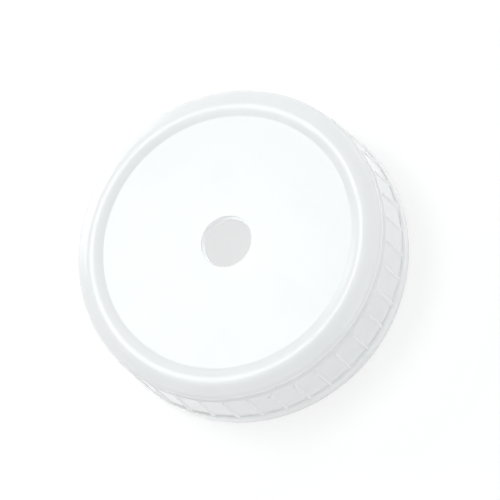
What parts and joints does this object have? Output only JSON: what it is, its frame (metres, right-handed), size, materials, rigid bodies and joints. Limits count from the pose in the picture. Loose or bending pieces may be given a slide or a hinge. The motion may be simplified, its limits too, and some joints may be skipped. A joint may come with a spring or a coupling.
{
  "type": "jar lid with straw hole",
  "caption": "Round white plastic screw lid for a jar, with a raised rim, a ribbed skirt and a round straw hole in its centre.",
  "frame": {"origin": "centre of the rim, on the plane that the lid stands on", "axes": "+Z along the axis of the lid, from the open mouth up to the panel with the straw hole; +X through one rib"},
  "size_m": [0.0768, 0.0768, 0.0203],
  "materials": {
    "white_plastic": "smooth moulded gloss"
  },
  "bodies": {
    "root": {"lid": "white_plastic"}
  },
  "joints": []
}
